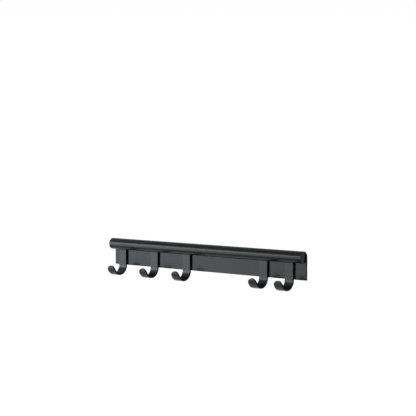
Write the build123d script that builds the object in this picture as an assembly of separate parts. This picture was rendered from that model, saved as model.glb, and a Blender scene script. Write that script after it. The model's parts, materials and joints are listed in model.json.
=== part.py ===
"""Wall rack with sliding hooks: a rail with a round rolled top edge, two end plugs and five strip hooks.

Millimetres. X runs along the rail, Y points into the wall and Z is up. The origin lies on the wall face,
midway between the two screw holes.
"""
import os
from math import acos, degrees, sqrt

from build123d import *

# Rail: one extruded profile, a flat wall plate whose top edge rolls forward into a round bar
rail_length = 445.5
bar_diameter = 21.0
rail_wall = 3.2
plate_drop = 40.0  # from the bar's axis down to the plate's bottom edge
plate_corner_radius = 1.0
rail_edge_radius = 0.3

# Lip: the end of the rolled wall, turned up inside the bar for the hooks to hang on
lip_thickness = 1.8
lip_corner_radius = 0.6

# Screw holes, countersunk from the front of the plate
screw_spacing = 255.0
screw_drop = 25.0  # from the bar's axis down to the row of holes
screw_hole_radius = 2.2
screw_head_radius = 3.9

# Hooks: a flat strip each, bent over the lip at its top and up into a J at its bottom
strip_width = 17.5
strip_thickness = 3.5
strip_edge_radius = 0.4
hook_plate_gap = 0.4
hook_drop = 39.7  # from the bar's axis down to the start of the lower bend
hook_inner_radius = 15.0
hook_tip_rise = 0.6  # of the round tip above the start of the lower bend
seat_inner_radius = 1.6  # of the bend over the lip
seat_clearance = 0.3  # between that bend and the lip's top
seat_leg = 2.5  # strip's end past that bend, inside the bar
head_clearance = 0.3  # between that bend and the bar's wall above it

# Places of the hooks, the first three from the rail's left end and the last two from its right end
left_end_to_hook = 22.2
left_pitches = (80.6, 78.9)
right_end_to_hook = 33.6
right_pitch = 55.0

# End plugs: moulded cups that close the bar in front of the hooks' channel
plug_length = 9.0
plug_face = 2.0
plug_wall = 1.6
plug_clearance = 0.05

# Places worked out from the sizes above
bar_radius = bar_diameter / 2
bore_radius = bar_radius - rail_wall
axis_y = -bar_radius
axis_z = screw_drop
plate_front = -rail_wall
plate_bottom = axis_z - plate_drop

strip_back = plate_front - hook_plate_gap
strip_front = strip_back - strip_thickness
hook_y = strip_front - hook_inner_radius
hook_z = axis_z - hook_drop
hook_outer_radius = hook_inner_radius + strip_thickness
tip_top = hook_z + hook_tip_rise

seat_outer_radius = seat_inner_radius + strip_thickness
seat_y = strip_front - seat_inner_radius
seat_reach = bore_radius - head_clearance - seat_outer_radius  # of the bend's centre from the bar's axis
seat_z = axis_z + sqrt(seat_reach**2 - (seat_y - axis_y) ** 2)

lip_half = lip_thickness / 2
lip_back = seat_y + lip_half
lip_front = seat_y - lip_half
lip_top = seat_z + seat_inner_radius - seat_clearance

rail_left = -rail_length / 2
rail_right = rail_length / 2
hook_1_x = rail_left + left_end_to_hook
hook_2_x = hook_1_x + left_pitches[0]
hook_3_x = hook_2_x + left_pitches[1]
hook_5_x = rail_right - right_end_to_hook
hook_4_x = hook_5_x - right_pitch


def section(*edges):
    """A face in the YZ plane from edges drawn as (Y, Z)."""
    return Plane.YZ * make_face(Curve() + list(edges))


def on_circle(radius, y):
    """The lower point at y on a circle about the bar's axis, and its angle from the +Y direction."""
    across = y - axis_y
    return (y, axis_z - sqrt(radius**2 - across**2)), 360 - degrees(acos(across / radius))


def rail_section():
    """Plate, rolled bar and lip as one wall, followed up the outside and back along the inside."""
    axis = (axis_y, axis_z)
    outer_foot, outer_angle = on_circle(bar_radius, lip_back)
    inner_foot, inner_angle = on_circle(bore_radius, lip_front)
    lip_shoulder = lip_top - lip_half
    face = section(
        Line((0, plate_bottom), (0, axis_z)),
        CenterArc(axis, bar_radius, 0, outer_angle),
        Line(outer_foot, (lip_back, lip_shoulder)),
        CenterArc((seat_y, lip_shoulder), lip_half, 0, 180),
        Line((lip_front, lip_shoulder), inner_foot),
        CenterArc(axis, bore_radius, inner_angle, -inner_angle),
        Line((plate_front, axis_z), (plate_front, plate_bottom)),
        Line((plate_front, plate_bottom), (0, plate_bottom)),
    )
    feet = [face.vertices().sort_by_distance((0, *foot))[0] for foot in (outer_foot, inner_foot)]
    return fillet(feet, lip_corner_radius)


def screw_hole():
    """A hole along Y with its countersink opening at the plate's front."""
    sink = screw_head_radius - screw_hole_radius
    bore = Cylinder(screw_hole_radius, 2 * rail_wall)
    head = Pos(0, 0, rail_wall - sink / 2) * Cone(screw_hole_radius, screw_head_radius, sink)
    return Rot(90, 0, 0) * (bore + head)


def make_rail():
    """The profile at its full length, with eased corners and ends and the two screw holes."""
    rail = extrude(rail_section(), rail_length / 2, both=True)
    corners = rail.edges().filter_by(Axis.Y).group_by(Axis.Z)[0]
    rail = fillet(corners, plate_corner_radius)
    ends = rail.faces().filter_by(Axis.X)
    rail = fillet(ends.edges(), rail_edge_radius)
    for side in (-1, 1):
        rail -= Pos(side * screw_spacing / 2, 0, 0) * screw_hole()
    return rail


def hook_section():
    """The strip's side view, from its end inside the bar over the lip, down the plate and round to the tip."""
    tip_allowance = 20  # degrees of bend past the level of its centre, trimmed when the tip is rounded
    turn = 180 + tip_allowance
    leg_end = seat_z - seat_leg
    leg_front = seat_y - seat_outer_radius
    leg_back = seat_y - seat_inner_radius
    outer = CenterArc((hook_y, hook_z), hook_outer_radius, 0, -turn)
    inner = CenterArc((hook_y, hook_z), hook_inner_radius, 0, -turn)
    return section(
        Line((leg_front, leg_end), (leg_front, seat_z)),
        CenterArc((seat_y, seat_z), seat_outer_radius, 180, -180),
        Line((strip_back, seat_z), (strip_back, hook_z)),
        outer,
        Line(outer @ 1, inner @ 1),
        inner,
        Line((strip_front, hook_z), (strip_front, seat_z)),
        CenterArc((seat_y, seat_z), seat_inner_radius, 0, 180),
        Line((leg_back, seat_z), (leg_back, leg_end)),
        Line((leg_back, leg_end), (leg_front, leg_end)),
    )


def make_hook():
    """One strip hook at X 0, with a full round tip and eased long edges."""
    hook = extrude(hook_section(), strip_width / 2, both=True)
    tip_radius = strip_width / 2
    depth = 2 * hook_outer_radius
    tip_z = tip_top - tip_radius
    front_y = hook_y - depth / 2
    blank = Pos(0, front_y, tip_z + depth / 2) * Box(2 * strip_width, depth, depth)
    round_end = Pos(0, front_y, tip_z) * Rot(90, 0, 0) * Cylinder(tip_radius, depth)
    hook -= blank - round_end
    outline = hook.edges() - hook.edges().filter_by(Axis.X) - hook.edges().filter_by(Axis.Y)
    return fillet(outline, strip_edge_radius)


def make_plug():
    """The right end's plug: a cup that fills the bar up to the lip's back, with a notch for the lip."""
    fill_radius = bore_radius - plug_clearance
    room = 2 * bar_diameter
    fill = Pos(axis_y, axis_z) * Circle(fill_radius)
    behind = Pos(lip_back + room / 2, axis_z) * Rectangle(room, room)
    notch_width = lip_thickness + 2 * plug_clearance
    notch = Pos(seat_y, lip_top + plug_clearance - room / 2) * Rectangle(notch_width, room)
    outline = fill - behind - notch
    foot, _ = on_circle(fill_radius, lip_front - plug_clearance)
    outline = fillet(outline.vertices().sort_by_distance(foot)[0], lip_corner_radius)
    hollow = Pos(axis_y, axis_z) * Circle(fill_radius - plug_wall)
    hollow -= Pos(lip_front - plug_wall + room / 2, axis_z) * Rectangle(room, room)
    body = extrude(Plane.YZ * outline, plug_length)
    cup = extrude(Plane.YZ * hollow, plug_length - plug_face)
    return Pos(rail_right - plug_length, 0, 0) * (body - cup)


def main():
    os.makedirs("parts", exist_ok=True)
    plug = make_plug()
    hook = make_hook()
    parts = {
        "rail": make_rail(),
        "end_plug_left": mirror(plug, Plane.YZ),
        "end_plug_right": plug,
    }
    places = (hook_1_x, hook_2_x, hook_3_x, hook_4_x, hook_5_x)
    for number, x in enumerate(places, start=1):
        parts[f"hook_{number}"] = Pos(x, 0, 0) * hook
    for name, shape in parts.items():
        export_step(shape, f"parts/{name}.step")


main()
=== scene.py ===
"""Looks of the hook rack: satin black powder coat on rail and hooks, moulded plugs, and a white studio."""
import json
from math import cos, pi, radians, sin

import bpy
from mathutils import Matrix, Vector

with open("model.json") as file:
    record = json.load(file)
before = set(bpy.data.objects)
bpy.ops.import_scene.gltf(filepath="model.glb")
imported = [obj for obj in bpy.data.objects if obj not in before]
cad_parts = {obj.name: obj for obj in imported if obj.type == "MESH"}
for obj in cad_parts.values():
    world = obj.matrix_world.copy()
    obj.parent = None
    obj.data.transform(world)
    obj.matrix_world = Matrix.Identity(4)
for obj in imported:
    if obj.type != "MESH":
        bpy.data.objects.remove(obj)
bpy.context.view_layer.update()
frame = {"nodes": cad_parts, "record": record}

# Camera: azimuth 0 looks along +Y, and the aim is a point on the wall plane
camera_aim = Vector((0.0047, 0.0, 0.1007))
camera_azimuth = 39.21
camera_elevation = 3.30
camera_distance = 2.202
camera_lens = 105.4

# Floor: wide, pale and faintly mottled
floor_height = -1.7
floor_side = 60.0
floor_grey = 0.5
floor_mottle = 0.02
floor_mottle_size = 0.5
floor_glow = 0.95

# World: white at the horizon under a dimmer ceiling, the same for the camera and for reflections
ambient = 0.2
ceiling_grey = 0.65
ceiling_low = 0.07  # sine of the elevation where the white starts to dim
ceiling_high = 0.5  # sine of the elevation where the ceiling's grey is reached

# Oval soft boxes to the left of the camera: a bright one a little above the object and a dimmer one below it
lamp_distance = 2.0
lamp_colour = (0.94, 0.97, 1.0)
lamps = {
    "upper_box": {"azimuth": -44, "elevation": 12, "width": 1.95, "height": 0.8, "radiance": 7.5},
    "lower_box": {"azimuth": -47, "elevation": -10, "width": 1.7, "height": 1.0, "radiance": 3.8},
}

# Coats by the record's material slots, and the duller one of cut edges, whose weaker shine also paints shade
# on them: peel and grain are sizes in metres
coats = {
    "rail_coat": {"grey": 0.008, "roughness": 0.25, "shine": 0.168, "peel": 0.0022, "grain": 0.0005},
    "hook_coat": {"grey": 0.008, "roughness": 0.33, "shine": 0.22, "peel": 0.002, "grain": 0.0005},
    "plug_plastic": {"grey": 0.013, "roughness": 0.55, "shine": 0.24, "peel": 0.001, "grain": 0.0003},
    # Duller cut edges: rougher sawn faces, plus painted shade, the low shine dimming their reflections near
    # the wall and beside the hooks' strips
    "cut_edge_and_shade": {"grey": 0.008, "roughness": 0.42, "shine": 0.05, "peel": 0.002, "grain": 0.0005},
}

# Cut edges are the faces across the rail's length, from these depths (Y) towards the wall; on the rail this
# keeps their painted shade to the end faces near the wall
cut_and_shade_from = {"rail_coat": -0.01, "hook_coat": -0.05}
cut_facing = 0.6  # least share of the face's normal along X

# Patterns that all coats share
mottle_size = 0.012
mottle_roughness = 0.03  # rougher and smoother by this
tone_spread = 0.2  # lighter and darker by this share of the grey
grain_tone = 0.5  # share of the grain beside the mottle in the tone
grain_height = 0.35  # share of the grain beside the peel in the bump
bump_strength = 0.15
bump_distance = 0.00004

# Ranges that the noises mostly keep to, one noise alone and the mottle with the grain's share
noise_range = (0.3, 0.7)
tone_range = (0.5, 1.0)


def direction(azimuth, elevation):
    """The unit vector from the object towards these angles."""
    a, e = radians(azimuth), radians(elevation)
    return Vector((sin(a) * cos(e), -cos(a) * cos(e), sin(e)))


class Graph:
    """A node tree with short calls to add and join its nodes."""

    def __init__(self, owner):
        owner.use_nodes = True
        self.tree = owner.node_tree
        self.tree.nodes.clear()

    def node(self, kind, values=None, **settings):
        """Adds a node, sets its properties, and sets or joins the named inputs."""
        made = self.tree.nodes.new(kind)
        for name, value in settings.items():
            setattr(made, name, value)
        for name, value in (values or {}).items():
            if isinstance(value, bpy.types.NodeSocket):
                self.tree.links.new(value, made.inputs[name])
            else:
                made.inputs[name].default_value = value
        return made

    def noise(self, place, size, detail, roughness=0.5):
        """Noise between 0 and 1 with features of about this size in metres."""
        values = {"Vector": place, "Scale": 1 / size, "Detail": detail, "Roughness": roughness}
        return self.node("ShaderNodeTexNoise", values).outputs["Fac"]

    def ramp(self, value, low, high, out_low, out_high):
        """A value mapped smoothly from one range to another."""
        values = {"Value": value, "From Min": low, "From Max": high, "To Min": out_low, "To Max": out_high}
        return self.node("ShaderNodeMapRange", values, interpolation_type="SMOOTHSTEP").outputs["Result"]

    def math(self, operation, a, b):
        """Two values joined by a Math node's operation."""
        return self.node("ShaderNodeMath", {0: a, 1: b}, operation=operation).outputs["Value"]


def make_coat(name, grey, roughness, shine, peel, grain):
    """A mottled coat with an orange-peel wave and a fine grain."""
    material = bpy.data.materials.new(name)
    graph = Graph(material)
    place = graph.node("ShaderNodeTexCoord").outputs["Object"]
    mottle = graph.noise(place, mottle_size, detail=3.0)
    peel_noise = graph.noise(place, peel, detail=1.0)
    grain_noise = graph.noise(place, grain, detail=3.0, roughness=0.6)
    tone = graph.math("ADD", mottle, graph.math("MULTIPLY", grain_noise, grain_tone))
    height = graph.math("ADD", peel_noise, graph.math("MULTIPLY", grain_noise, grain_height))
    relief = {"Height": height, "Strength": bump_strength, "Distance": bump_distance}
    bump = graph.node("ShaderNodeBump", relief)
    darker, lighter = grey * (1 - tone_spread), grey * (1 + tone_spread)
    smoother, rougher = roughness - mottle_roughness, roughness + mottle_roughness
    shader = graph.node("ShaderNodeBsdfPrincipled", {
        "Base Color": graph.ramp(tone, *tone_range, darker, lighter),
        "Roughness": graph.ramp(mottle, *noise_range, smoother, rougher),
        "Specular IOR Level": shine,
        "Normal": bump.outputs["Normal"],
    })
    graph.node("ShaderNodeOutputMaterial", {"Surface": shader.outputs["BSDF"]})
    return material


def dress(node, slot_name, materials):
    """Puts the slot's coat on a node, and the duller one on its cut edges, which paints shade on them."""
    for slot in node.material_slots:
        slot.material = materials[slot_name]
    if slot_name not in cut_and_shade_from:
        return
    node.data.materials.append(materials["cut_edge_and_shade"])
    cut_and_shade_index = len(node.material_slots) - 1
    for face in node.data.polygons:
        # Painted shade: these cut faces get the duller coat, with dimmer reflections
        if abs(face.normal.x) > cut_facing and face.center.y > cut_and_shade_from[slot_name]:
            face.material_index = cut_and_shade_index


def seen(graph):
    """1 for rays from the camera and for those reflected or passed on, 0 for the rest."""
    path = graph.node("ShaderNodeLightPath").outputs
    mirrored = graph.math("MAXIMUM", path["Is Glossy Ray"], path["Is Transmission Ray"])
    return graph.math("MAXIMUM", path["Is Camera Ray"], mirrored)


def make_world():
    """White all round with a dimmer ceiling, and a lower even light on the object."""
    world = bpy.data.worlds.new("studio")
    bpy.context.scene.world = world
    graph = Graph(world)
    ray = graph.node("ShaderNodeTexCoord").outputs["Generated"]
    up = graph.node("ShaderNodeSeparateXYZ", {"Vector": ray}).outputs["Z"]
    grey = graph.ramp(up, ceiling_low, ceiling_high, 1.0, ceiling_grey)
    strength = graph.ramp(seen(graph), 0.0, 1.0, ambient, 1.0)
    background = graph.node("ShaderNodeBackground", {"Color": grey, "Strength": strength})
    graph.node("ShaderNodeOutputWorld", {"Surface": background.outputs["Background"]})


def make_floor():
    """The floor, lifted to white for the camera and still dimmed by shadows."""
    bpy.ops.mesh.primitive_plane_add(size=floor_side, location=(0, 0, floor_height))
    floor = bpy.context.object
    floor.name = "floor"
    material = bpy.data.materials.new("pale_floor")
    graph = Graph(material)
    place = graph.node("ShaderNodeTexCoord").outputs["Object"]
    mottle = graph.noise(place, floor_mottle_size, detail=2.0)
    shade = graph.ramp(mottle, *noise_range, floor_grey - floor_mottle, floor_grey + floor_mottle)
    paint = graph.node("ShaderNodeBsdfDiffuse", {"Color": shade})
    glow = graph.node("ShaderNodeEmission", {"Strength": graph.math("MULTIPLY", seen(graph), floor_glow)})
    both = graph.node("ShaderNodeAddShader", {0: paint.outputs["BSDF"], 1: glow.outputs["Emission"]})
    graph.node("ShaderNodeOutputMaterial", {"Surface": both.outputs["Shader"]})
    floor.data.materials.append(material)


def make_lamp(name, azimuth, elevation, width, height, radiance):
    """A soft box, turned to the object."""
    light = bpy.data.lights.new(name, "AREA")
    light.shape = "ELLIPSE"
    light.size = width
    light.size_y = height
    light.color = lamp_colour
    area = pi / 4 * width * height
    light.energy = radiance * pi * area
    lamp = bpy.data.objects.new(name, light)
    towards = direction(azimuth, elevation)
    lamp.location = towards * lamp_distance
    lamp.rotation_euler = towards.to_track_quat("Z", "Y").to_euler()
    bpy.context.scene.collection.objects.link(lamp)


def make_camera():
    """The photo's view of the object."""
    camera = bpy.data.objects.new("camera", bpy.data.cameras.new("camera"))
    towards = direction(camera_azimuth, camera_elevation)
    camera.location = camera_aim + towards * camera_distance
    camera.rotation_euler = towards.to_track_quat("Z", "Y").to_euler()
    camera.data.lens = camera_lens
    bpy.context.scene.collection.objects.link(camera)
    bpy.context.scene.camera = camera


materials = {name: make_coat(name, **settings) for name, settings in coats.items()}
for part in frame["record"]["subparts"]:
    dress(frame["nodes"][part["node"]], part["material_slot"], materials)

make_world()
make_floor()
for name, settings in lamps.items():
    make_lamp(name, **settings)
make_camera()
bpy.context.scene.view_settings.view_transform = "Standard"
